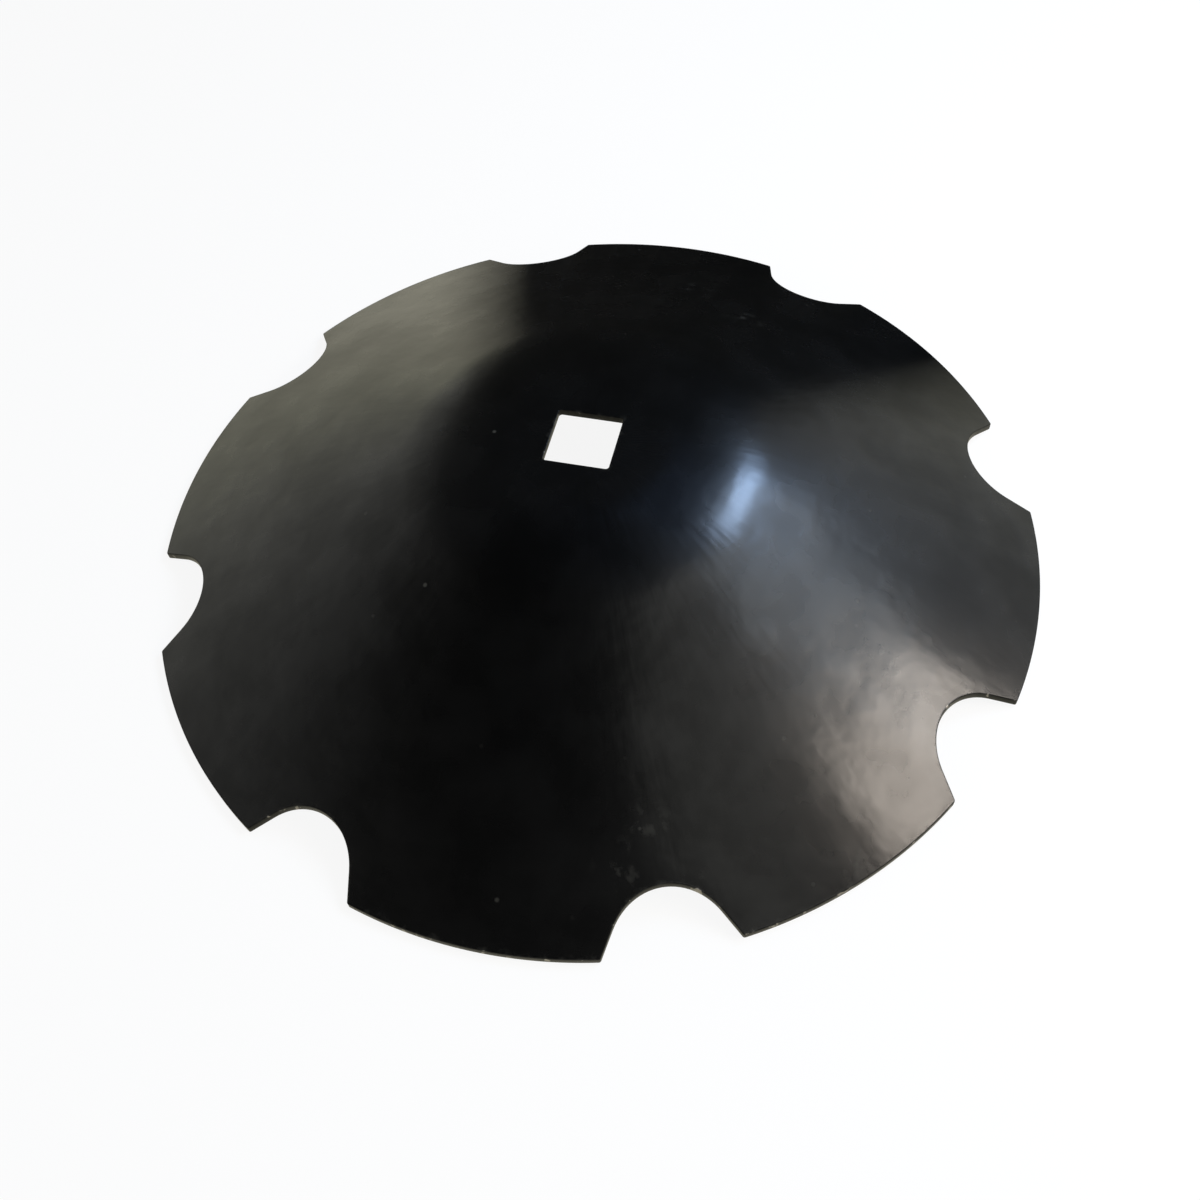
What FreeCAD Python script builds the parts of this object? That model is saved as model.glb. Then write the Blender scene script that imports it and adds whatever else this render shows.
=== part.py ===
import FreeCAD, Part

import math
import os

import Sketcher
from FreeCAD import Placement, Rotation, Vector

# Notched disc blade of a disc harrow, in millimetres and degrees.
#
# One round steel sheet is pressed into a shallow cone with a domed crown. A flat seat in the
# middle of the crown is clamped between the spools of a gang and has a square hole for the
# gang's axle. Notches in the rim bite into the soil. The blade lies with its hollow side down:
# +Z is its axis, towards the crown, and the origin is on the axis in the plane of the rim.

NODE = "disc_blade"

# Alias, value and meaning of each driving dimension.
DIMENSIONS = [
    ("outside_diameter", 560.0, "diameter across the rim"),
    ("sheet_thickness", 4.5, "thickness of the sheet, square to its surface"),
    ("seat_diameter", 90.0, "flat seat for the spools"),
    ("crown_width", 39.0, "radial width of the domed ring round the seat"),
    ("crown_angle", 13.0, "slope of the dome at its outer edge"),
    ("shoulder_width", 21.0, "radial width of the bend from the crown to the flank"),
    ("flank_angle", 24.5, "slope of the conical flank"),
    ("axle_width", 38.1, "square axle across its flats"),
    ("axle_clearance", 1.6, "axle hole across its flats, less the axle"),
    ("axle_hole_corner_radius", 2.0, "corners of the axle hole"),
    ("notch_count", 8, "notches in the rim"),
    ("notch_depth", 32.0, "depth of a notch, measured along the radius"),
    ("notch_root_radius", 35.0, "round root of a notch"),
    ("notch_flare_angle", 33.5, "slope of a notch's straight sides from its centre line"),
    ("tip_radius", 1.5, "corners where the notches meet the rim"),
    ("edge_break", 0.6, "broken edge between the upper face and the cut edges"),
]


def make_sheet(doc):
    """Put the driving dimensions in a spreadsheet and return their values by name."""
    sheet = doc.addObject("Spreadsheet::Sheet", "Dimensions")
    for row, (alias, value, meaning) in enumerate(DIMENSIONS, start=1):
        sheet.set(f"A{row}", meaning)
        sheet.set(f"B{row}", str(value))
        sheet.setAlias(f"B{row}", alias)
    doc.recompute()
    return {alias: float(sheet.get(alias)) for alias, _, _ in DIMENSIONS}


def origin_feature(body, role):
    """Find one of the body's own origin planes or axes."""
    for feature in body.Origin.OriginFeatures:
        if feature.Role == role:
            return feature
    raise RuntimeError(f"{body.Name} has no {role}")


def new_sketch(body, name, plane):
    """Start a sketch on one of the body's origin planes."""
    sketch = body.newObject("Sketcher::SketchObject", name)
    sketch.AttachmentSupport = [(origin_feature(body, plane), "")]
    sketch.MapMode = "FlatFace"
    return sketch


def bind(sketch, name, expression, *constraint):
    """Add a named dimension to a sketch and tie it to the spreadsheet."""
    sketch.addConstraint(Sketcher.Constraint(*constraint))
    sketch.renameConstraint(sketch.ConstraintCount - 1, name)
    sketch.setExpression(f"Constraints.{name}", expression)


def line(start, end):
    return Part.LineSegment(Vector(*start, 0), Vector(*end, 0))


def arc(centre, radius, start_angle, end_angle):
    """An anticlockwise arc between two angles in degrees."""
    circle = Part.Circle(Vector(*centre, 0), Vector(0, 0, 1), radius)
    return Part.ArcOfCircle(circle, math.radians(start_angle), math.radians(end_angle))


def polar(centre, radius, angle):
    """The point at an angle in degrees on a circle."""
    return (
        centre[0] + radius * math.cos(math.radians(angle)),
        centre[1] + radius * math.sin(math.radians(angle)),
    )


def section_sketch(body, size):
    """Half the section of the pressed sheet, from the axis to the rim.

    The upper side runs seat, crown, shoulder, flank. The lower side is parallel to it, one
    sheet thickness away, so both arcs of the crown share a centre and so do the shoulder's.
    """
    rim = size["outside_diameter"] / 2
    sheet = size["sheet_thickness"]
    seat = size["seat_diameter"] / 2
    crown = size["crown_angle"]
    flank = size["flank_angle"]
    crown_end = seat + size["crown_width"]
    shoulder_end = crown_end + size["shoulder_width"]
    crown_sine = math.sin(math.radians(crown))
    flank_sine = math.sin(math.radians(flank))
    crown_radius = size["crown_width"] / crown_sine
    shoulder_radius = size["shoulder_width"] / (flank_sine - crown_sine)

    rim_top = sheet / math.cos(math.radians(flank))
    shoulder_z = rim_top + (rim - shoulder_end) * math.tan(math.radians(flank))
    shoulder_centre = polar((shoulder_end, shoulder_z), -shoulder_radius, 90 - flank)
    crown_z = polar(shoulder_centre, shoulder_radius, 90 - crown)[1]
    crown_centre = polar((crown_end, crown_z), -crown_radius, 90 - crown)
    top = crown_centre[1] + crown_radius
    inner_shoulder = polar(shoulder_centre, shoulder_radius - sheet, 90 - flank)

    sketch = new_sketch(body, "Section", "XZ_Plane")
    pieces = {
        "seat_top": line((0, top), (seat, top)),
        "crown_top": arc(crown_centre, crown_radius, 90 - crown, 90),
        "shoulder_top": arc(shoulder_centre, shoulder_radius, 90 - flank, 90 - crown),
        "flank_top": line((shoulder_end, shoulder_z), (rim, rim_top)),
        "rim_edge": line((rim, rim_top), (rim, 0)),
        "flank_under": line((rim, 0), inner_shoulder),
        "shoulder_under": arc(shoulder_centre, shoulder_radius - sheet, 90 - flank, 90 - crown),
        "crown_under": arc(crown_centre, crown_radius - sheet, 90 - crown, 90),
        "seat_under": line((seat, top - sheet), (0, top - sheet)),
        "axis_edge": line((0, top - sheet), (0, top)),
    }
    index = {name: sketch.addGeometry(shape, False) for name, shape in pieces.items()}

    start, end, centre = 1, 2, 3
    horizontal_axis, vertical_axis = -1, -2
    joints = [
        ("Tangent", "seat_top", end, "crown_top", end),
        ("Tangent", "crown_top", start, "shoulder_top", end),
        ("Tangent", "shoulder_top", start, "flank_top", start),
        ("Coincident", "flank_top", end, "rim_edge", start),
        ("Coincident", "rim_edge", end, "flank_under", start),
        ("Tangent", "flank_under", end, "shoulder_under", start),
        ("Tangent", "shoulder_under", end, "crown_under", start),
        ("Tangent", "crown_under", end, "seat_under", start),
        ("Coincident", "seat_under", end, "axis_edge", start),
        ("Coincident", "axis_edge", end, "seat_top", start),
        ("Coincident", "crown_top", centre, "crown_under", centre),
        ("Coincident", "shoulder_top", centre, "shoulder_under", centre),
    ]
    for kind, first, first_end, second, second_end in joints:
        sketch.addConstraint(
            Sketcher.Constraint(kind, index[first], first_end, index[second], second_end)
        )
    for name in ("seat_top", "seat_under"):
        sketch.addConstraint(Sketcher.Constraint("Horizontal", index[name]))
    sketch.addConstraint(Sketcher.Constraint("Vertical", index["rim_edge"]))
    sketch.addConstraint(Sketcher.Constraint("Parallel", index["flank_top"], index["flank_under"]))
    for name in ("seat_top", "axis_edge"):
        sketch.addConstraint(
            Sketcher.Constraint("PointOnObject", index[name], start, vertical_axis)
        )
    sketch.addConstraint(
        Sketcher.Constraint("PointOnObject", index["flank_under"], start, horizontal_axis)
    )

    bind(sketch, "sheet", "Dimensions.sheet_thickness",
         "DistanceY", index["axis_edge"], start, index["axis_edge"], end, sheet)
    bind(sketch, "seat", "Dimensions.seat_diameter / 2",
         "DistanceX", index["seat_top"], start, index["seat_top"], end, seat)
    bind(sketch, "crown", "Dimensions.crown_width",
         "DistanceX", index["crown_top"], end, index["crown_top"], start, size["crown_width"])
    bind(sketch, "crown_slope", "Dimensions.crown_angle",
         "Angle", index["crown_top"], math.radians(crown))
    bind(sketch, "shoulder", "Dimensions.shoulder_width",
         "DistanceX", index["shoulder_top"], end, index["shoulder_top"], start,
         size["shoulder_width"])
    bind(sketch, "shoulder_turn", "Dimensions.flank_angle - Dimensions.crown_angle",
         "Angle", index["shoulder_top"], math.radians(flank - crown))
    bind(sketch, "rim", "Dimensions.outside_diameter / 2",
         "DistanceX", -1, 1, index["rim_edge"], end, rim)
    return sketch


def press_sheet(body, size):
    """Turn the section about the axis."""
    sketch = section_sketch(body, size)
    pressing = body.newObject("PartDesign::Revolution", "Pressing")
    pressing.Profile = sketch
    pressing.ReferenceAxis = (sketch, ["V_Axis"])
    pressing.Angle = 360
    body.Document.recompute()
    return pressing


def axle_hole_sketch(body, size):
    """Square with rounded corners, its flats square to X and Y."""
    half = (size["axle_width"] + size["axle_clearance"]) / 2
    corner = size["axle_hole_corner_radius"]
    inner = half - corner
    sketch = new_sketch(body, "AxleHole", "XY_Plane")
    start, end, centre = 1, 2, 3

    flats = []
    corners = []
    for quarter in range(4):
        turn = 90 * quarter
        rotation = Rotation(Vector(0, 0, 1), turn)
        flat_ends = [rotation.multVec(Vector(half, side * inner, 0)) for side in (-1, 1)]
        corner_centre = rotation.multVec(Vector(inner, inner, 0))
        flats.append(sketch.addGeometry(Part.LineSegment(*flat_ends), False))
        corners.append(
            sketch.addGeometry(arc(corner_centre[:2], corner, turn, turn + 90), False)
        )
    for quarter in range(4):
        following = flats[(quarter + 1) % 4]
        sketch.addConstraint(
            Sketcher.Constraint("Tangent", flats[quarter], end, corners[quarter], start)
        )
        sketch.addConstraint(
            Sketcher.Constraint("Tangent", corners[quarter], end, following, start)
        )
        sketch.addConstraint(
            Sketcher.Constraint("Horizontal" if quarter % 2 else "Vertical", flats[quarter])
        )
    for quarter in range(1, 4):
        sketch.addConstraint(Sketcher.Constraint("Equal", corners[0], corners[quarter]))
    sketch.addConstraint(Sketcher.Constraint("Equal", flats[0], flats[1]))
    sketch.addConstraint(
        Sketcher.Constraint("Symmetric", corners[0], centre, corners[2], centre, -1, 1)
    )

    bind(sketch, "corner", "Dimensions.axle_hole_corner_radius", "Radius", corners[0], corner)
    bind(sketch, "across_flats", "Dimensions.axle_width + Dimensions.axle_clearance",
         "DistanceX", flats[2], start, flats[0], end, 2 * half)
    return sketch


def notch_sketch(body, size):
    """One notch: a round root with straight sides that open past the rim.

    The sketch's own X runs out along the notch's centre line. The sketch is turned by half
    the spacing of the notches, so that the tooth between two notches is centred on +X.
    """
    rim = size["outside_diameter"] / 2
    root_radius = size["notch_root_radius"]
    flare = size["notch_flare_angle"]
    root_x = rim - size["notch_depth"]
    root_centre = (root_x + root_radius, 0)
    mouth_x = rim + size["notch_depth"]
    left_turn = 90 + flare
    left_root = polar(root_centre, root_radius, left_turn)
    mouth_half = left_root[1] + (mouth_x - left_root[0]) * math.tan(math.radians(flare))

    sketch = new_sketch(body, "Notch", "XY_Plane")
    half_spacing = Rotation(Vector(0, 0, 1), 180 / size["notch_count"])
    sketch.AttachmentOffset = Placement(Vector(), half_spacing)
    sketch.setExpression(".AttachmentOffset.Rotation.Angle", "180 / Dimensions.notch_count")
    right_root = (left_root[0], -left_root[1])
    root = sketch.addGeometry(arc(root_centre, root_radius, left_turn, 360 - left_turn), False)
    left = sketch.addGeometry(line((mouth_x, mouth_half), left_root), False)
    right = sketch.addGeometry(line(right_root, (mouth_x, -mouth_half)), False)
    mouth = sketch.addGeometry(line((mouth_x, -mouth_half), (mouth_x, mouth_half)), False)

    start, end, centre = 1, 2, 3
    horizontal_axis = -1
    sketch.addConstraint(Sketcher.Constraint("Tangent", left, end, root, start))
    sketch.addConstraint(Sketcher.Constraint("Tangent", root, end, right, start))
    sketch.addConstraint(Sketcher.Constraint("Coincident", right, end, mouth, start))
    sketch.addConstraint(Sketcher.Constraint("Coincident", mouth, end, left, start))
    sketch.addConstraint(Sketcher.Constraint("PointOnObject", root, centre, horizontal_axis))
    sketch.addConstraint(Sketcher.Constraint("Symmetric", left, start, right, end, horizontal_axis))

    bind(sketch, "root_radius", "Dimensions.notch_root_radius", "Radius", root, root_radius)
    bind(sketch, "root_centre",
         "Dimensions.outside_diameter / 2 - Dimensions.notch_depth + Dimensions.notch_root_radius",
         "DistanceX", -1, 1, root, centre, root_centre[0])
    bind(sketch, "flare", "2 * Dimensions.notch_flare_angle",
         "Angle", right, start, left, end, math.radians(2 * flare))
    bind(sketch, "mouth", "Dimensions.outside_diameter / 2 + Dimensions.notch_depth",
         "DistanceX", -1, 1, mouth, start, mouth_x)
    return sketch


def cut_up(body, sketch, name):
    """Cut a sketch in the rim's plane up through the whole blade."""
    before = body.Tip.Shape.Volume
    pocket = body.newObject("PartDesign::Pocket", name)
    pocket.Profile = sketch
    pocket.Type = "ThroughAll"
    pocket.Reversed = True
    body.Document.recompute()
    if not pocket.Shape.Volume < before:
        raise RuntimeError(f"{name} cuts nothing")
    return pocket


def punch_notches(body, size):
    """Cut one notch and repeat it round the rim."""
    notch = cut_up(body, notch_sketch(body, size), "FirstNotch")
    notches = body.newObject("PartDesign::PolarPattern", "Notches")
    notches.Originals = [notch]
    notches.Axis = (origin_feature(body, "Z_Axis"), [""])
    notches.Angle = 360
    notches.setExpression("Occurrences", "Dimensions.notch_count")
    body.Tip = notches
    body.Document.recompute()
    return notches


def dress_edges(body, base, kind, name, wanted, **sizes):
    """Fillet or chamfer the edges of the base feature that the test picks."""
    names = [f"Edge{i}" for i, edge in enumerate(base.Shape.Edges, start=1) if wanted(edge)]
    if not names:
        raise RuntimeError(f"{name} finds no edge")
    dressing = body.newObject(f"PartDesign::{kind}", name)
    dressing.Base = (base, names)
    for parameter, cell in sizes.items():
        dressing.setExpression(parameter, f"Dimensions.{cell}")
    body.Tip = dressing
    body.Document.recompute()
    return dressing


def is_tip_corner(edge, rim):
    """An upright edge where a notch meets the rim."""
    low, high = edge.Vertexes[0].Point, edge.Vertexes[-1].Point
    upright = math.hypot(high.x - low.x, high.y - low.y) < 0.001
    return upright and edge.Length > 1 and abs(math.hypot(low.x, low.y) - rim) < 0.001


def upper_flank(shape):
    """The conical face on the blade's upper side."""
    cones = [face for face in shape.Faces if isinstance(face.Surface, Part.Cone)]
    return max(cones, key=lambda face: face.CenterOfMass.z)


def is_upper_outline(edge, flank, shoulder):
    """An edge that bounds the upper flank at the rim or at a notch."""
    on_flank = any(edge.isSame(other) for other in flank.Edges)
    outside = min(math.hypot(v.Point.x, v.Point.y) for v in edge.Vertexes) > shoulder + 1
    return on_flank and outside and not edge.isSeam(flank)


def make_blade(doc, size):
    """Press and punch the blade, then round its tips and break its upper edges."""
    body = doc.addObject("PartDesign::Body", "Blade")
    body.Label = NODE
    press_sheet(body, size)
    cut_up(body, axle_hole_sketch(body, size), "AxleHoleCut")
    notches = punch_notches(body, size)
    rim = size["outside_diameter"] / 2
    shoulder = size["seat_diameter"] / 2 + size["crown_width"] + size["shoulder_width"]
    tips = dress_edges(body, notches, "Fillet", "TipRounding",
                       lambda edge: is_tip_corner(edge, rim), Radius="tip_radius")
    flank = upper_flank(tips.Shape)
    dress_edges(body, tips, "Chamfer", "EdgeBreak",
                lambda edge: is_upper_outline(edge, flank, shoulder), Size="edge_break")
    return body


def check(doc, bodies):
    """Stop if any object failed, or if a sub-part isn't one valid solid."""
    for item in doc.Objects:
        if "Invalid" in item.State or "Error" in item.State:
            raise RuntimeError(f"{item.Name} is {item.State}")
    for body in bodies:
        if body.Shape.isNull() or not body.Shape.isValid() or len(body.Shape.Solids) != 1:
            raise RuntimeError(f"{body.Label} isn't one valid solid")


def main():
    os.makedirs("parts", exist_ok=True)
    doc = FreeCAD.newDocument("HarrowDiscBlade")
    size = make_sheet(doc)
    bodies = [make_blade(doc, size)]
    doc.recompute()
    check(doc, bodies)
    for body in bodies:
        body.Shape.exportStep(f"parts/{body.Label}.step")
        box = body.Shape.BoundBox
        print(f"{body.Label}: {box.XLength:.2f} x {box.YLength:.2f} x {box.ZLength:.2f} mm,"
              f" {body.Shape.Volume / 1000:.1f} cm3, {len(body.Shape.Faces)} faces")


main()
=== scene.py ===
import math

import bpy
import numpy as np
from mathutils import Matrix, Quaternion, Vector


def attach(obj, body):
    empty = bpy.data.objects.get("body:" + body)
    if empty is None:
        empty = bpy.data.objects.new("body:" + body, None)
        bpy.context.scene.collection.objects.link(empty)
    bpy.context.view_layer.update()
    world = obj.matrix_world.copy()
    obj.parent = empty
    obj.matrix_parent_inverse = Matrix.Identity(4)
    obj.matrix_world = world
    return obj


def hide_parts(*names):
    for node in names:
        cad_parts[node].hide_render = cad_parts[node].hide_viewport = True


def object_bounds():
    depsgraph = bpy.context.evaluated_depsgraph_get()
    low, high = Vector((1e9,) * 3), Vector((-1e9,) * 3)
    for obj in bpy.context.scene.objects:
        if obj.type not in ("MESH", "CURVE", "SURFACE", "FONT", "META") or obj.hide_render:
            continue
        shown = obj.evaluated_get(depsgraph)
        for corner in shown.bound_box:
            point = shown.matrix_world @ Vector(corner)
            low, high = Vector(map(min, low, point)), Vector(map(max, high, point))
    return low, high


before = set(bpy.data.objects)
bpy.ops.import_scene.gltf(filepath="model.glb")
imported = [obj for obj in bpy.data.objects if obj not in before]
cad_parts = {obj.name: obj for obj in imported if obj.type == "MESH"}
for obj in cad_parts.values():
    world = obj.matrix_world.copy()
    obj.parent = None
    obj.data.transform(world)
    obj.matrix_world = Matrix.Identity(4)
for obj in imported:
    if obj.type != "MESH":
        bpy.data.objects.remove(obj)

# A notched harrow disc blade: a black lacquered steel pressing, shown on a pale floor.
# The blade's axis is Z, its rim's lower plane is z = 0, and its teeth point along X and Y.
# Lengths are in metres.

MM = 0.001
NODE = "disc_blade"

cad_low, cad_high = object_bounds()

# The pressing's form: the CAD solid's, with a slightly longer and softer shoulder inside it.
RADIUS = (cad_high.x - cad_low.x) / 2
HEIGHT = cad_high.z - cad_low.z
SHEET = 4.5 * MM
SEAT_END = 45.0 * MM
CROWN_END = SEAT_END + 35.9 * MM
SHOULDER_END = CROWN_END + 30.1 * MM
CROWN_SLOPE = math.radians(13.0)
FLANK_SLOPE = math.radians(24.5)
CROWN_ARC = (CROWN_END - SEAT_END) / math.sin(CROWN_SLOPE)
SHOULDER_ARC = (SHOULDER_END - CROWN_END) / (math.sin(FLANK_SLOPE) - math.sin(CROWN_SLOPE))

# The square axle hole and the rim's notches.
HOLE_HALF = 19.85 * MM
HOLE_CORNER = 2.0 * MM
NOTCHES = 8
NOTCH_ROOT_ARC = 35.0 * MM
NOTCH_ROOT_CENTRE = RADIUS - 32.0 * MM + NOTCH_ROOT_ARC
NOTCH_FLARE = math.radians(33.5)
TIP_ARC = 1.5 * MM

# The lacquer's thickness rounds the cut edges.
RIM_ROUND = 0.6 * MM
UNDER_ROUND = 0.3 * MM
HOLE_ROUND = 0.4 * MM
EDGE_SUPPORT = 0.4 * MM

# How far round the outline, and across the faces, the mesh is divided.
ROOT_STEPS = 14
FLARE_STEPS = 4
TIP_STEPS = 6
RIM_STEPS = 22
ROUND_STEPS = 3
OUTLINE_BLEND_START = RADIUS - 46.0 * MM
UPPER_STEPS = {"seat": 4, "crown": 9, "shoulder": 8, "flank": 20, "outline": 9}
LOWER_STEPS = {"seat": 3, "crown": 6, "shoulder": 5, "flank": 10, "outline": 5}

# Where fingers and rag have smudged the lacquer: azimuth in degrees, radius and size.
SMUDGES = (
    (288, 238 * MM, 20 * MM),
    (292, 218 * MM, 16 * MM),
    (298, 244 * MM, 10 * MM),
    (337, 206 * MM, 18 * MM),
    (335, 232 * MM, 20 * MM),
    (81, 198 * MM, 18 * MM),
    (67, 174 * MM, 18 * MM),
    (315, 272 * MM, 12 * MM),
)
EDGE_WEAR_REACH = 7.0 * MM
# How many features of each kind the lacquer has to the metre.
CLOUDS_A_METRE = 24.0
BLOTCHES_A_METRE = 110.0
GRAINS_A_METRE = 75.0
DRIFTS_A_METRE = 14.0
STREAKS_A_METRE = 16.0
WEAR_A_METRE = 160.0
PEEL_A_METRE = 900.0
# How high each stands, in millimetres.
CLOUD_HEIGHT = 0.5
STREAK_HEIGHT = 0.1
PEEL_HEIGHT = 0.002
DUST_HEIGHT = 0.05
CHIP_HEIGHT = -0.05
BLACK = (0.0008, 0.0008, 0.0008, 1)
DUST = (0.045, 0.044, 0.038, 1)
STEEL = (0.22, 0.205, 0.185, 1)

# The studio round the blade.
FLOOR_HALF = 6.0
FLOOR_GAP = 0.1 * MM
FLOOR_GLOW = 0.9
FLOOR_IN_GLOSS = (1.0, 0.95, 0.74, 1)
FLOOR_TO_CAMERA = (1, 1, 1, 1)
FLOOR_PAPER = (0.88, 0.88, 0.88, 1)
CARD_BLACK = (0.02, 0.02, 0.02, 1)
CARD_RADIUS = RADIUS + 4.0 * MM
CARD_STEPS = 10
# Elevation in degrees, the wall's level there, and how much of its blue is left.
WALL_LEVELS = (
    (0, 1.00, 0.74),
    (5, 0.95, 0.78),
    (12, 0.85, 0.90),
    (19, 0.78, 0.95),
    (26, 0.66, 0.96),
    (33, 0.48, 0.97),
    (40, 0.30, 0.98),
    (47, 0.08, 1.00),
    (52, 0.01, 1.00),
)


def surface_height(radius, depth):
    """Height of the surface that lies depth under the pressing's upper face."""
    crown_arc = CROWN_ARC - depth
    crown_centre = HEIGHT - CROWN_ARC
    shoulder_arc = SHOULDER_ARC - depth
    shoulder_centre_r = CROWN_END - SHOULDER_ARC * math.sin(CROWN_SLOPE)
    shoulder_centre_z = crown_centre + (CROWN_ARC - SHOULDER_ARC) * math.cos(CROWN_SLOPE)
    seat = np.full_like(radius, HEIGHT - depth)
    crown = crown_centre + np.sqrt(np.maximum(crown_arc**2 - (radius - SEAT_END) ** 2, 0))
    across = np.maximum(shoulder_arc**2 - (radius - shoulder_centre_r) ** 2, 0)
    shoulder = shoulder_centre_z + np.sqrt(across)
    flank = (RADIUS - radius) * math.tan(FLANK_SLOPE) + (SHEET - depth) / math.cos(FLANK_SLOPE)
    ends = (
        SEAT_END,
        SEAT_END + crown_arc * math.sin(CROWN_SLOPE),
        shoulder_centre_r + shoulder_arc * math.sin(FLANK_SLOPE),
    )
    zones = [radius <= end for end in ends]
    return np.select(zones, [seat, crown, shoulder], flank)


def half_notch_outline():
    """Points and outward normals from a notch's root to the middle of the next tooth, seen from above."""
    flare = np.array([math.cos(NOTCH_FLARE), math.sin(NOTCH_FLARE)])
    into_tooth = np.array([-math.sin(NOTCH_FLARE), math.cos(NOTCH_FLARE)])
    root_centre = np.array([NOTCH_ROOT_CENTRE, 0.0])
    root_end = root_centre + NOTCH_ROOT_ARC * into_tooth
    reach = RADIUS - TIP_ARC
    start = root_end + TIP_ARC * into_tooth
    along = -start @ flare + math.sqrt((start @ flare) ** 2 - start @ start + reach**2)
    tip_centre = start + along * flare
    flare_end = root_end + along * flare
    tooth_start = math.atan2(tip_centre[1], tip_centre[0])
    tooth_middle = math.pi / NOTCHES

    points = []
    normals = []
    root_sweep = math.pi / 2 - NOTCH_FLARE
    for step in range(ROOT_STEPS):
        angle = root_sweep * step / ROOT_STEPS
        normal = np.array([math.cos(angle), -math.sin(angle)])
        points.append(root_centre - NOTCH_ROOT_ARC * normal)
        normals.append(normal)
    for step in range(FLARE_STEPS):
        points.append(root_end + (flare_end - root_end) * step / FLARE_STEPS)
        normals.append(-into_tooth)
    for step in range(TIP_STEPS):
        angle = -root_sweep + (tooth_start + root_sweep) * step / TIP_STEPS
        normal = np.array([math.cos(angle), math.sin(angle)])
        points.append(tip_centre + TIP_ARC * normal)
        normals.append(normal)
    for step in range(RIM_STEPS + 1):
        angle = tooth_start + (tooth_middle - tooth_start) * step / RIM_STEPS
        normal = np.array([math.cos(angle), math.sin(angle)])
        points.append(RADIUS * normal)
        normals.append(normal)
    return np.array(points), np.array(normals)


def turned(plan, angle):
    """Plan vectors turned about the blade's axis."""
    cosine = math.cos(angle)
    sine = math.sin(angle)
    return plan @ np.array([[cosine, sine], [-sine, cosine]])


def blade_outline():
    """The whole notched outline, anticlockwise, as points and outward normals."""
    half_points, half_normals = half_notch_outline()
    mirror = np.array([1.0, -1.0])
    sector_points = np.concatenate([(half_points * mirror)[:0:-1], half_points[:-1]])
    sector_normals = np.concatenate([(half_normals * mirror)[:0:-1], half_normals[:-1]])
    angles = [2 * math.pi * (index + 0.5) / NOTCHES for index in range(NOTCHES)]
    points = np.concatenate([turned(sector_points, angle) for angle in angles])
    normals = np.concatenate([turned(sector_normals, angle) for angle in angles])
    return points, normals


def hole_radius(angle):
    """Distance from the axis to the square hole's edge, at an angle round the axis."""
    from_flat = np.abs((angle + math.pi / 4) % (math.pi / 2) - math.pi / 4)
    corner_start = HOLE_HALF - HOLE_CORNER
    flat = HOLE_HALF / np.cos(from_flat)
    corner_centre = corner_start * math.sqrt(2)
    off_corner = math.pi / 4 - from_flat
    across = np.maximum(HOLE_CORNER**2 - (corner_centre * np.sin(off_corner)) ** 2, 0)
    corner = corner_centre * np.cos(off_corner) + np.sqrt(across)
    return np.where(HOLE_HALF * np.tan(from_flat) <= corner_start, flat, corner)


def spaced(start, end, steps):
    """Values from start towards end, without the end itself."""
    return [start + (end - start) * step / steps for step in range(steps)]


def face_rows(angle, outline, normals, depth, hole_round, rim_round, steps):
    """Rows of points over one face, from the hole's rounded edge to the rim's."""
    direction = np.stack([np.cos(angle), np.sin(angle)], axis=1)
    hole = hole_radius(angle)[:, None]
    rows = []
    for inset in (hole_round, hole_round + EDGE_SUPPORT):
        rows.append(direction * (hole + inset))
    first = rows[-1]
    seat = direction * SEAT_END
    for share in spaced(0, 1, steps["seat"])[1:]:
        rows.append(first + (seat - first) * share)
    radii = spaced(SEAT_END, CROWN_END, steps["crown"])
    radii += spaced(CROWN_END, SHOULDER_END, steps["shoulder"])
    radii += spaced(SHOULDER_END, OUTLINE_BLEND_START, steps["flank"])
    rows += [direction * radius for radius in radii]
    inner = direction * OUTLINE_BLEND_START
    outer = outline - normals * (rim_round + EDGE_SUPPORT)
    for share in spaced(0, 1, steps["outline"]):
        rows.append(inner + (outer - inner) * share)
    rows.append(outer)
    rows.append(outline - normals * rim_round)
    placed = []
    for row in rows:
        radius = np.hypot(row[:, 0], row[:, 1])
        placed.append(np.column_stack([row, surface_height(radius, depth)]))
    return placed


def rounded_edge(edge, outward, size, upward):
    """Rows that turn from a face down, or up, to the cut wall beside it."""
    rows = []
    for step in range(1, ROUND_STEPS + 1):
        turn = math.pi / 2 * step / ROUND_STEPS
        out = size * math.sin(turn)
        drop = size * (1 - math.cos(turn))
        row = edge.copy()
        row[:, :2] += outward * out
        row[:, 2] += drop if upward else -drop
        rows.append(row)
    return rows


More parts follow.
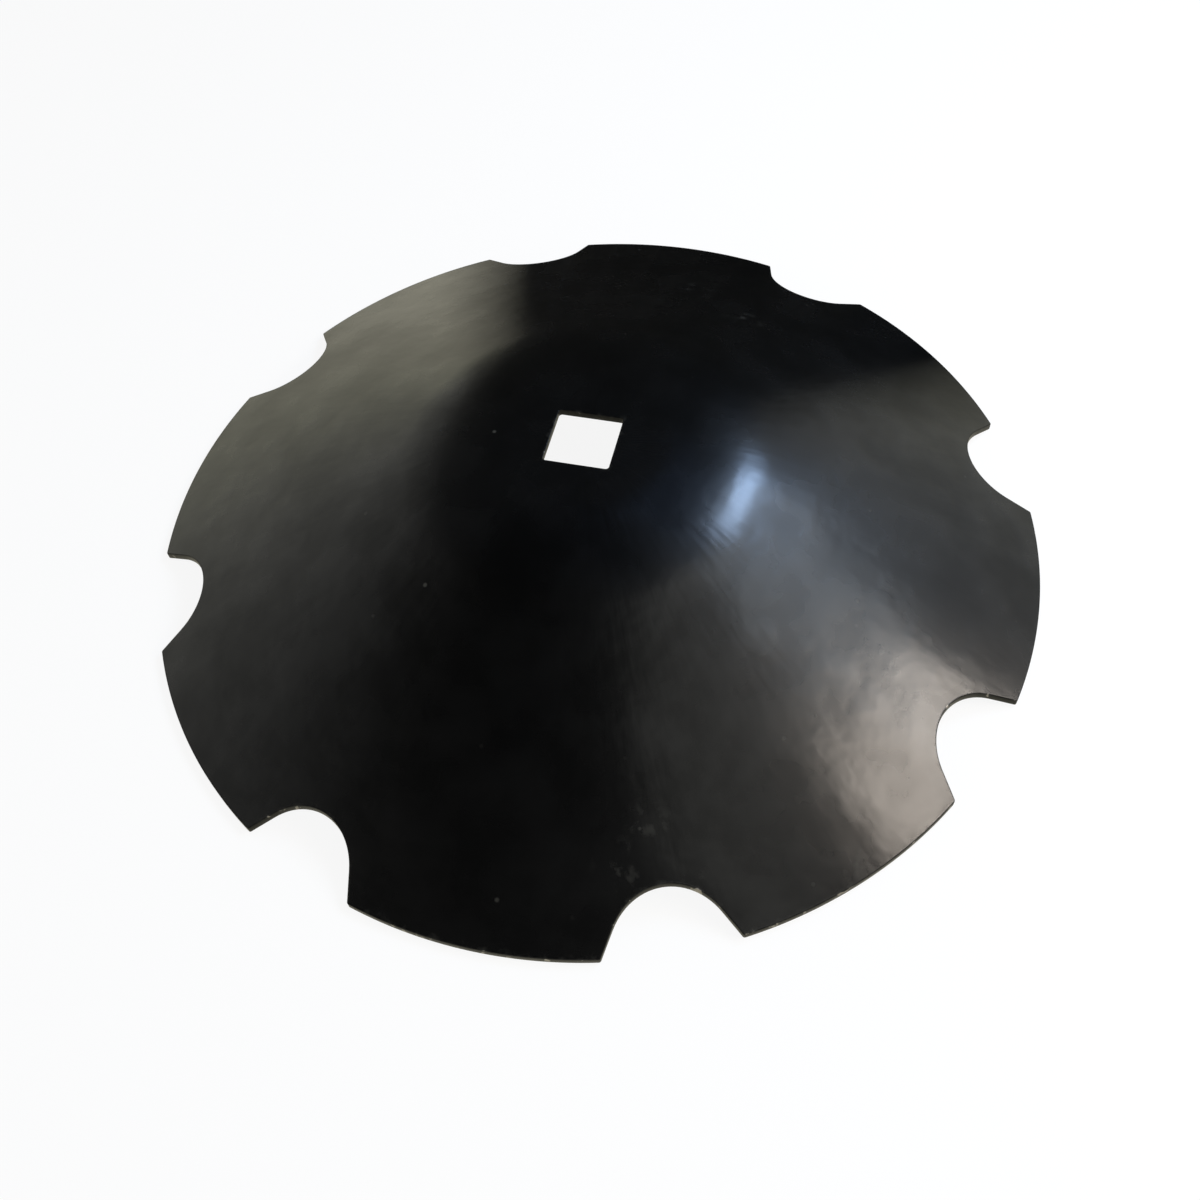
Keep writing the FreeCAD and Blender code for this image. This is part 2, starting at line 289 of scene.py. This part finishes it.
def blade_mesh():
    """The blade as one closed skin: upper face, rim wall, lower face and hole wall. The mesh also
    carries which points are on a cut wall, and how near each is to an edge."""
    outline, normals = blade_outline()
    angle = np.arctan2(outline[:, 1], outline[:, 0])
    direction = np.stack([np.cos(angle), np.sin(angle)], axis=1)
    upper = face_rows(angle, outline, normals, 0.0, HOLE_ROUND, RIM_ROUND, UPPER_STEPS)
    lower = face_rows(angle, outline, normals, SHEET, HOLE_ROUND, UNDER_ROUND, LOWER_STEPS)
    rim_top = rounded_edge(upper[-1], normals, RIM_ROUND, upward=False)
    rim_bottom = rounded_edge(lower[-1], normals, UNDER_ROUND, upward=True)
    hole_top = rounded_edge(upper[0], -direction, HOLE_ROUND, upward=False)
    hole_bottom = rounded_edge(lower[0], -direction, HOLE_ROUND, upward=True)
    section = upper + rim_top + rim_bottom[::-1] + lower[::-1] + hole_bottom + hole_top[::-1]
    columns = len(angle)
    rows = len(section)
    vertices = np.concatenate(section)
    first_cut = len(upper)
    first_under = first_cut + len(rim_top) + len(rim_bottom)
    cut = np.zeros((rows, columns))
    cut[first_cut:first_under] = 1.0
    cut[first_under + len(lower) :] = 1.0
    gap = [np.linalg.norm(row[:, :2] - outline, axis=1) for row in section]
    hole_gap = [np.hypot(row[:, 0], row[:, 1]) - hole_radius(angle) for row in section]
    near_edge = np.exp(-np.minimum(gap, hole_gap) / EDGE_WEAR_REACH)
    faces = []
    for row in range(rows):
        here = row * columns
        following = (row + 1) % rows * columns
        for column in range(columns):
            beside = (column + 1) % columns
            faces.append((here + column, following + column, following + beside, here + beside))
    mesh = bpy.data.meshes.new("blade_skin")
    mesh.from_pydata(vertices.tolist(), [], faces)
    for name, values in (("cut", cut), ("near_edge", near_edge)):
        mesh.attributes.new(name, "FLOAT", "POINT").data.foreach_set("value", values.ravel())
    mesh.validate()
    mesh.shade_smooth()
    return mesh


def connect(tree, socket, value):
    """Links a socket to another node's, or sets it."""
    if isinstance(value, bpy.types.NodeSocket):
        tree.links.new(value, socket)
    else:
        socket.default_value = value


def add_node(tree, kind, inputs, **settings):
    """A node with its settings and inputs."""
    node = tree.nodes.new(kind)
    for name, value in settings.items():
        setattr(node, name, value)
    for socket, value in inputs.items():
        connect(tree, node.inputs[socket], value)
    return node


def noise(tree, place, scale, detail):
    """Cloudy noise, with scale features to the metre."""
    inputs = {"Vector": place, "Scale": scale, "Detail": detail, "Roughness": 0.55}
    return add_node(tree, "ShaderNodeTexNoise", inputs).outputs["Fac"]


def calculate(tree, operation, first, second):
    """The result of one operation on two numbers."""
    return add_node(tree, "ShaderNodeMath", {0: first, 1: second}, operation=operation).outputs[0]


def ramp(tree, value, start, end, low=0.0, high=1.0):
    """Low where the value is at start or before it, high at end or beyond it, smooth between."""
    inputs = {"Value": value, "From Min": start, "From Max": end, "To Min": low, "To Max": high}
    node = add_node(tree, "ShaderNodeMapRange", inputs, interpolation_type="SMOOTHSTEP")
    return node.outputs["Result"]


def blend(tree, share, first, second):
    """The first colour where the share is 0, the second where it is 1."""
    node = tree.nodes.new("ShaderNodeMix")
    node.data_type = "RGBA"
    connect(tree, node.inputs["Factor"], share)
    colours = [socket for socket in node.inputs if socket.type == "RGBA"]
    connect(tree, colours[0], first)
    connect(tree, colours[1], second)
    return [socket for socket in node.outputs if socket.type == "RGBA"][0]


def smudged(tree, place):
    """Where the lacquer is smudged: blotches in a few places, broken up by noise."""
    patches = 0.0
    for azimuth, radius, size in SMUDGES:
        turn = math.radians(azimuth)
        height = surface_height(np.array([radius]), 0.0)[0]
        spot = (radius * math.cos(turn), radius * math.sin(turn), height)
        distance = add_node(tree, "ShaderNodeVectorMath", {0: place, 1: spot}, operation="DISTANCE")
        patch = ramp(tree, distance.outputs["Value"], size, 0.2 * size)
        patches = calculate(tree, "MAXIMUM", patches, patch)
    blotches = ramp(tree, noise(tree, place, BLOTCHES_A_METRE, 4.0), 0.5, 0.68)
    return calculate(tree, "MULTIPLY", patches, blotches)


def dusty(tree, place):
    """Grains caught in the lacquer: small round specks in some of the cells, more in some parts."""
    cells = add_node(tree, "ShaderNodeTexVoronoi", {"Vector": place, "Scale": GRAINS_A_METRE})
    grain = ramp(tree, cells.outputs["Distance"], 0.13, 0.05)
    chosen = add_node(tree, "ShaderNodeSeparateColor", {"Color": cells.outputs["Color"]}).outputs[0]
    sparse = ramp(tree, chosen, 0.72, 0.95)
    drift = ramp(tree, noise(tree, place, DRIFTS_A_METRE, 1.0), 0.48, 0.66)
    return calculate(tree, "MULTIPLY", calculate(tree, "MULTIPLY", grain, sparse), drift)


def radial_streaks(tree, place):
    """Faint streaks that run out from the middle, as the press and the rag leave them."""
    flat = add_node(tree, "ShaderNodeVectorMath", {0: place, 1: (1, 1, 0)}, operation="MULTIPLY")
    bearing = add_node(tree, "ShaderNodeVectorMath", {0: flat.outputs[0]}, operation="NORMALIZE")
    along = add_node(tree, "ShaderNodeVectorMath", {0: bearing.outputs[0], 1: place}, operation="ADD")
    return noise(tree, along.outputs[0], STREAKS_A_METRE, 3.0)


def lacquer_relief(tree, heights):
    """The surface's small relief, from masks and their heights in millimetres."""
    relief = 0.0
    for mask, millimetres in heights:
        relief = calculate(tree, "ADD", relief, calculate(tree, "MULTIPLY", mask, millimetres))
    inputs = {"Height": relief, "Distance": MM, "Strength": 1.0}
    return add_node(tree, "ShaderNodeBump", inputs).outputs["Normal"]


def black_lacquer():
    """Deep black lacquer over pressed steel: cloudy, dusted, smudged, and thin or gone at the cut edges."""
    material = bpy.data.materials.new("black_lacquer")
    material.use_nodes = True
    tree = material.node_tree
    shader = tree.nodes["Principled BSDF"].inputs
    place = tree.nodes.new("ShaderNodeTexCoord").outputs["Object"]
    cut = add_node(tree, "ShaderNodeAttribute", {}, attribute_name="cut").outputs["Fac"]
    near_edge = add_node(tree, "ShaderNodeAttribute", {}, attribute_name="near_edge").outputs["Fac"]

    clouds = noise(tree, place, CLOUDS_A_METRE, 3.0)
    streaks = radial_streaks(tree, place)
    peel = noise(tree, place, PEEL_A_METRE, 1.0)
    smudges = calculate(tree, "MULTIPLY", smudged(tree, place), 0.3)
    dust = calculate(tree, "MAXIMUM", dusty(tree, place), smudges)
    worn = calculate(tree, "MULTIPLY", near_edge, noise(tree, place, WEAR_A_METRE, 5.0))
    scuffs = ramp(tree, worn, 0.4, 0.62)
    chips = ramp(tree, worn, 0.6, 0.66)

    dulled = calculate(tree, "MAXIMUM", dust, calculate(tree, "MULTIPLY", scuffs, 0.25))
    grey = blend(tree, dulled, BLACK, DUST)
    connect(tree, shader["Base Color"], blend(tree, chips, grey, STEEL))
    connect(tree, shader["Metallic"], calculate(tree, "MULTIPLY", chips, 0.8))
    cloudy = ramp(tree, clouds, 0.3, 0.7, 0.38, 0.5)
    matt = calculate(tree, "ADD", calculate(tree, "MULTIPLY", dust, 0.2), cloudy)
    connect(tree, shader["Roughness"], matt)

    gloss = ramp(tree, clouds, 0.3, 0.7, 0.66, 1.0)
    for mask, kept in ((cut, 0.2), (scuffs, 0.7), (chips, 0.1), (dust, 0.4)):
        gloss = calculate(tree, "MULTIPLY", gloss, ramp(tree, mask, 0.0, 1.0, 1.0, kept))
    connect(tree, shader["Coat Weight"], gloss)

    heights = (
        (clouds, CLOUD_HEIGHT),
        (streaks, STREAK_HEIGHT),
        (peel, PEEL_HEIGHT),
        (dust, DUST_HEIGHT),
        (chips, CHIP_HEIGHT),
    )
    relief = lacquer_relief(tree, heights)
    connect(tree, shader["Normal"], relief)
    connect(tree, shader["Coat Normal"], relief)

    shader["Specular IOR Level"].default_value = 0.08
    shader["Coat Roughness"].default_value = 0.22
    shader["Coat IOR"].default_value = 1.4
    return material


def make_blade():
    """The lacquered blade, which stands for the CAD node."""
    blade = bpy.data.objects.new("blade", blade_mesh())
    bpy.context.scene.collection.objects.link(blade)
    blade.data.materials.append(black_lacquer())
    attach(blade, "root")
    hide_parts(NODE)
    return blade


def make_floor():
    """A plain pale floor at the rim's lower plane, which keeps the blade's soft shadow."""
    mesh = bpy.data.meshes.new("floor")
    half = FLOOR_HALF
    corners = [(-half, -half, 0), (half, -half, 0), (half, half, 0), (-half, half, 0)]
    mesh.from_pydata(corners, [], [(0, 1, 2, 3)])
    mesh.materials.append(pale_floor())
    floor = bpy.data.objects.new("floor", mesh)
    floor.location.z = cad_low.z - FLOOR_GAP
    bpy.context.scene.collection.objects.link(floor)


def pale_floor():
    """White paper: part lit by the lamps, part bright of itself wherever it is seen or mirrored."""
    material = bpy.data.materials.new("pale_floor")
    material.use_nodes = True
    tree = material.node_tree
    tree.nodes.clear()
    path = tree.nodes.new("ShaderNodeLightPath").outputs
    mirrored = calculate(tree, "MAXIMUM", path["Is Glossy Ray"], path["Is Transmission Ray"])
    seen = calculate(tree, "MAXIMUM", path["Is Camera Ray"], mirrored)
    share = calculate(tree, "MULTIPLY", seen, FLOOR_GLOW)
    tint = blend(tree, path["Is Camera Ray"], FLOOR_IN_GLOSS, FLOOR_TO_CAMERA)
    paper = add_node(tree, "ShaderNodeBsdfDiffuse", {"Color": FLOOR_PAPER})
    glow = add_node(tree, "ShaderNodeEmission", {"Color": tint, "Strength": 1.0})
    mix = add_node(tree, "ShaderNodeMixShader", {0: share, 1: paper.outputs[0], 2: glow.outputs[0]})
    add_node(tree, "ShaderNodeOutputMaterial", {"Surface": mix.outputs[0]})
    return material


def make_card(name, ribs):
    """A curved black card that only the blade's gloss sees. A rib has an end below and an end above,
    and each end is its azimuth, its height and how well the card covers there."""
    vertices = []
    cover = []
    for first, second in zip(ribs, ribs[1:]):
        for step in range(CARD_STEPS):
            add_rib(vertices, cover, first, second, step / CARD_STEPS)
    add_rib(vertices, cover, ribs[-1], ribs[-1], 0.0)
    last = len(vertices) // 2 - 1
    faces = [(2 * rib, 2 * rib + 2, 2 * rib + 3, 2 * rib + 1) for rib in range(last)]
    mesh = bpy.data.meshes.new(name)
    mesh.from_pydata(vertices, [], faces)
    mesh.attributes.new("cover", "FLOAT", "POINT").data.foreach_set("value", cover)
    mesh.materials.append(card_material())
    card = bpy.data.objects.new(name, mesh)
    card.visible_camera = False
    card.visible_diffuse = False
    card.visible_shadow = False
    bpy.context.scene.collection.objects.link(card)


def add_rib(vertices, cover, first, second, share):
    """Adds the rib that lies a share of the way from the first to the second."""
    for one, other in zip(first, second):
        azimuth, height, density = [a + (b - a) * share for a, b in zip(one, other)]
        turn = math.radians(azimuth)
        vertices.append((CARD_RADIUS * math.cos(turn), CARD_RADIUS * math.sin(turn), height))
        cover.append(density)


def card_material():
    """Matt black card, which lets through what it doesn't cover."""
    material = bpy.data.materials.new("black_card")
    material.use_nodes = True
    tree = material.node_tree
    shader = tree.nodes["Principled BSDF"].inputs
    shader["Base Color"].default_value = CARD_BLACK
    shader["Roughness"].default_value = 0.9
    cover = add_node(tree, "ShaderNodeAttribute", {}, attribute_name="cover").outputs["Fac"]
    connect(tree, shader["Alpha"], cover)
    return material


def make_cards():
    """Two cards behind the blade, one on the other, and a third to their left that fades in upwards."""
    low_ribs = (
        ((28, 0.0, 0), (42, 0.1, 0)),
        ((45, 0.0, 1), (59, 0.1, 1)),
        ((113, 0.0, 1), (121, 0.1, 1)),
        ((128, 0.0, 0), (137, 0.1, 0)),
    )
    back_ribs = (
        ((42, 0.1, 0), (44, 0.42, 0)),
        ((59, 0.1, 1), (60, 0.42, 1)),
        ((121, 0.1, 1), (121, 0.42, 1)),
        ((137, 0.1, 0), (134, 0.42, 0)),
    )
    fade_ribs = (
        ((118, 0.07, 0), (118, 0.13, 0)),
        ((124, 0.07, 0), (124, 0.13, 1)),
        ((132, 0.085, 0), (132, 0.17, 1)),
        ((141, 0.105, 0), (141, 0.235, 1)),
        ((150, 0.125, 0), (150, 0.27, 1)),
        ((165, 0.155, 0), (165, 0.31, 1)),
        ((180, 0.18, 0), (180, 0.34, 1)),
        ((200, 0.2, 0), (200, 0.36, 0)),
    )
    upper_ribs = tuple((above, (above[0], 0.6, above[2])) for below, above in fade_ribs)
    make_card("low_card", low_ribs)
    make_card("back_card", back_ribs)
    make_card("fading_card", fade_ribs)
    make_card("upper_card", upper_ribs)


def toward(azimuth, elevation):
    """The unit vector at an azimuth from +X towards +Y and an elevation, in degrees."""
    turn = math.radians(azimuth)
    rise = math.radians(elevation)
    return Vector((math.cos(turn) * math.cos(rise), math.sin(turn) * math.cos(rise), math.sin(rise)))


def softbox(name, aim, azimuth, elevation, distance, width, height, radiance, colour, roll=0.0):
    """A rectangular softbox that faces a place on the blade. Radiance 1 is a white surface in plain light."""
    lamp = bpy.data.lights.new(name, "AREA")
    lamp.shape = "RECTANGLE"
    lamp.size = width
    lamp.size_y = height
    lamp.energy = radiance * math.pi * width * height
    lamp.color = colour
    stand = bpy.data.objects.new(name, lamp)
    stand.location = Vector(aim) + toward(azimuth, elevation) * distance
    facing = (Vector(aim) - stand.location).to_track_quat("-Z", "Y")
    stand.rotation_euler = (facing @ Quaternion((0, 0, 1), math.radians(roll))).to_euler()
    stand.visible_camera = False
    bpy.context.scene.collection.objects.link(stand)


def make_lights():
    """A window and softboxes to the blade's right and front, in a room with pale walls."""
    shoulder = (0.094, -0.017, 0.08)
    right_rim = (0.218, -0.126, 0.018)
    middle = (0, 0, HEIGHT / 2)
    softbox("window_light", shoulder, 48, 46, 1.2, 0.15, 0.50, 40.0, (0.46, 0.66, 1.0), roll=38.0)
    softbox("window_halo", middle, 64, 59, 1.3, 0.70, 0.45, 0.35, (0.35, 0.55, 1.0))
    softbox("window_glow", middle, 24, 45, 1.3, 0.75, 0.55, 3.5, (0.82, 0.91, 1.0))
    softbox("warm_light", right_rim, 10, 44, 1.2, 0.18, 0.66, 21.0, (1.0, 0.89, 0.78), roll=59.0)
    softbox("side_glow", middle, 335, 57, 1.4, 0.9, 0.6, 0.85, (1.0, 1.0, 0.93))
    softbox("front_fill", middle, 288, 28, 1.6, 0.9, 0.5, 2.0, (1.0, 1.0, 1.0))
    make_world()


def make_world():
    """Pale walls that fall off into a dim ceiling."""
    world = bpy.data.worlds.new("studio")
    world.use_nodes = True
    tree = world.node_tree
    direction = tree.nodes.new("ShaderNodeTexCoord").outputs["Generated"]
    rise = add_node(tree, "ShaderNodeSeparateXYZ", {0: direction}).outputs["Z"]
    walls = add_node(tree, "ShaderNodeValToRGB", {0: rise})
    connect(tree, tree.nodes["Background"].inputs["Color"], walls.outputs["Color"])
    stops = walls.color_ramp.elements
    while len(stops) < len(WALL_LEVELS):
        stops.new(1.0)
    for stop, (elevation, level, blue) in zip(stops, WALL_LEVELS):
        stop.position = math.sin(math.radians(elevation))
        stop.color = (level, level, level * blue, 1)
    bpy.context.scene.world = world


def make_camera():
    """The camera looks down on the blade from its front left, a little rolled."""
    lens_mm = 37.76
    azimuth = -71.46
    elevation = 55.56
    distance = 0.7907
    roll = math.radians(-5.87)
    aim = Vector((0.01585, -0.04689, cad_low.z))
    data = bpy.data.cameras.new("camera")
    data.lens = lens_mm
    data.sensor_width = 36.0
    camera = bpy.data.objects.new("camera", data)
    back = toward(azimuth, elevation)
    camera.location = aim + back * distance
    turn = (-back).to_track_quat("-Z", "Y").to_matrix()
    right = turn @ Vector((1, 0, 0))
    up = turn @ Vector((0, 1, 0))
    rolled_right = right * math.cos(roll) + up * math.sin(roll)
    rolled_up = up * math.cos(roll) - right * math.sin(roll)
    matrix = camera.matrix_world.copy()
    for axis, vector in enumerate((rolled_right, rolled_up, back, camera.location)):
        for row in range(3):
            matrix[row][axis] = vector[row]
    camera.matrix_world = matrix
    bpy.context.scene.collection.objects.link(camera)
    bpy.context.scene.camera = camera


make_camera()
make_blade()
make_floor()
make_cards()
make_lights()
bpy.context.scene.view_settings.view_transform = "Standard"
